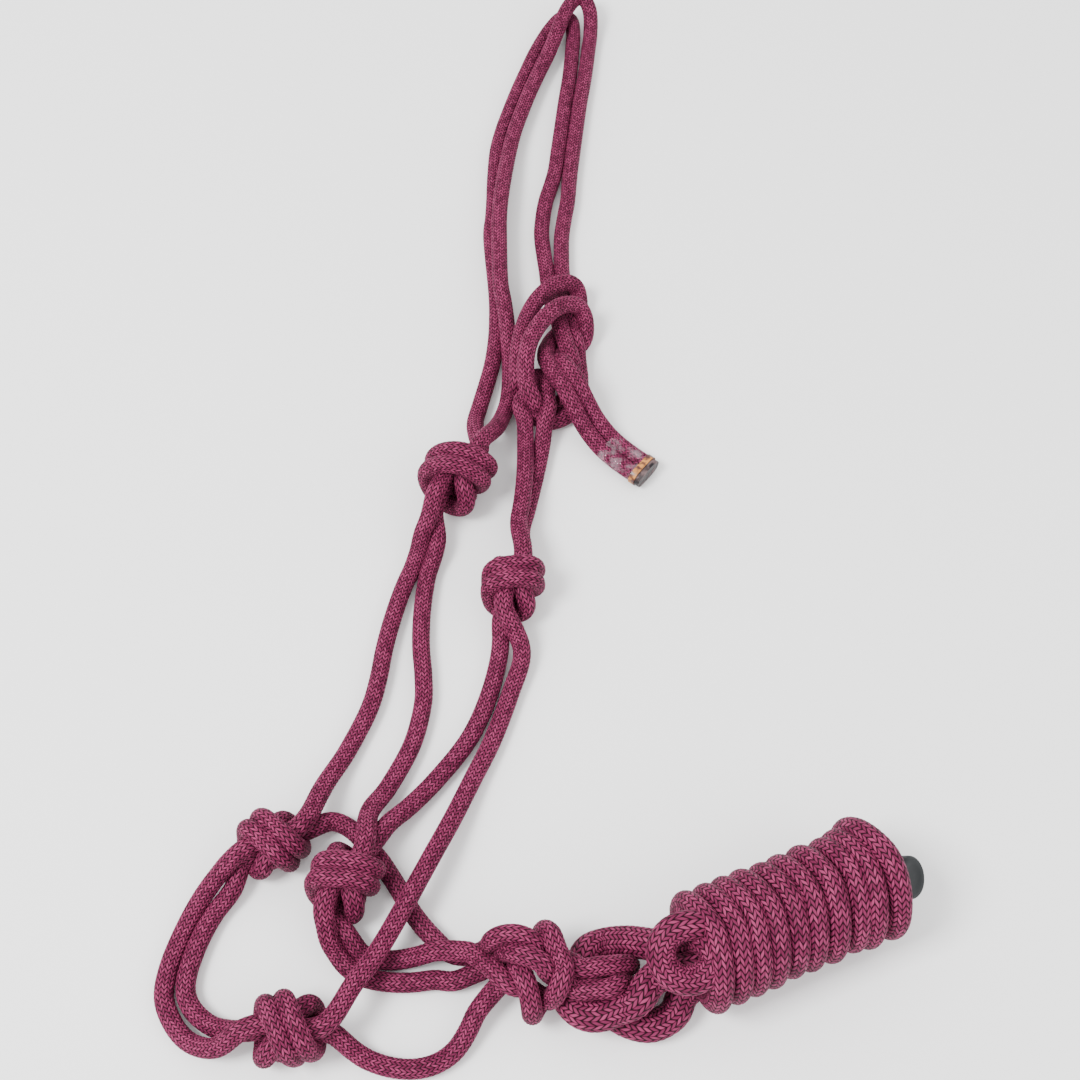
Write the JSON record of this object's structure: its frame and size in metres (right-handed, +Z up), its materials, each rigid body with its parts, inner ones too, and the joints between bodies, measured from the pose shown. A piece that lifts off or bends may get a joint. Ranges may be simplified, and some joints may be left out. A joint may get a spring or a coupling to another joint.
{
  "type": "rope halter",
  "caption": "Knotted rope halter for a horse, laid out flat, with a doubled crown, sheet-bend tie and sealed tails, and a thicker lead rope hitched to its heel loops and wound into a hank.",
  "frame": {"origin": "centre of the laid-out halter and lead, on the table under them", "axes": "+X from the noseband to the wound lead, +Y from the chin to the crown, +Z up from the table"},
  "size_m": [0.3072, 0.5899, 0.0511],
  "materials": {
    "halter_rope": "8 mm braided polyester rope, plum with paler stitches and dark gaps",
    "lead_rope": "13 mm braided polyester lead rope of the same plum, with larger stitches",
    "clear_sleeve": "clear shrunk sleeve",
    "orange_band": "tape",
    "melted_end": "melted rope ends",
    "rubber_cap": "matt"
  },
  "bodies": {
    "halter": {"nose_knot_far": "halter_rope", "nose_knot_near": "halter_rope", "throat_knot": "halter_rope", "cheek_knot_far": "halter_rope", "cheek_knot_near": "halter_rope", "noseband_outer": "halter_rope", "noseband_inner": "halter_rope", "cheek_rope_far": "halter_rope", "cheek_rope_near": "halter_rope", "throat_rope_far": "halter_rope", "throat_rope_near": "halter_rope", "chin_rope_far": "halter_rope", "chin_rope_near": "halter_rope", "jaw_rope_upper": "halter_rope", "jaw_rope_lower": "halter_rope", "chin_knot": "halter_rope", "heel_loop_far": "halter_rope", "heel_loop_near": "halter_rope", "crown_leg_outer": "halter_rope", "crown_leg_inner": "halter_rope", "tie_left": "halter_rope", "tie_right": "halter_rope", "tie_loop": "halter_rope", "lead_loop": "lead_rope", "lead_under": "lead_rope"},
    "crown": {"crown_outer": "halter_rope", "crown_inner": "halter_rope"},
    "tails": {"tail_left": "halter_rope", "tail_right": "halter_rope", "tail_sleeve": "clear_sleeve", "tail_band": "orange_band", "tail_end": "melted_end"},
    "wound_lead": {"lead_hank": "lead_rope", "lead_eye": "lead_rope", "lead_end_cap": "rubber_cap"}
  },
  "joints": [
    {"name": "crown_fold", "type": "hinge", "parent": "halter", "child": "crown", "pos_m": [0.0002, 0.1093, 0.0156], "axis": [1, 0, 0], "range_deg": [0, 90]},
    {"name": "tail_swing", "type": "hinge", "parent": "halter", "child": "tails", "pos_m": [0.0132, 0.0253, 0.008], "axis": [0, 0, 1], "range_deg": [-15, 25]},
    {"name": "lead_swing", "type": "hinge", "parent": "halter", "child": "wound_lead", "pos_m": [0.0799, -0.2439, 0.025], "axis": [0, 0, 1], "range_deg": [-20, 25]}
  ]
}
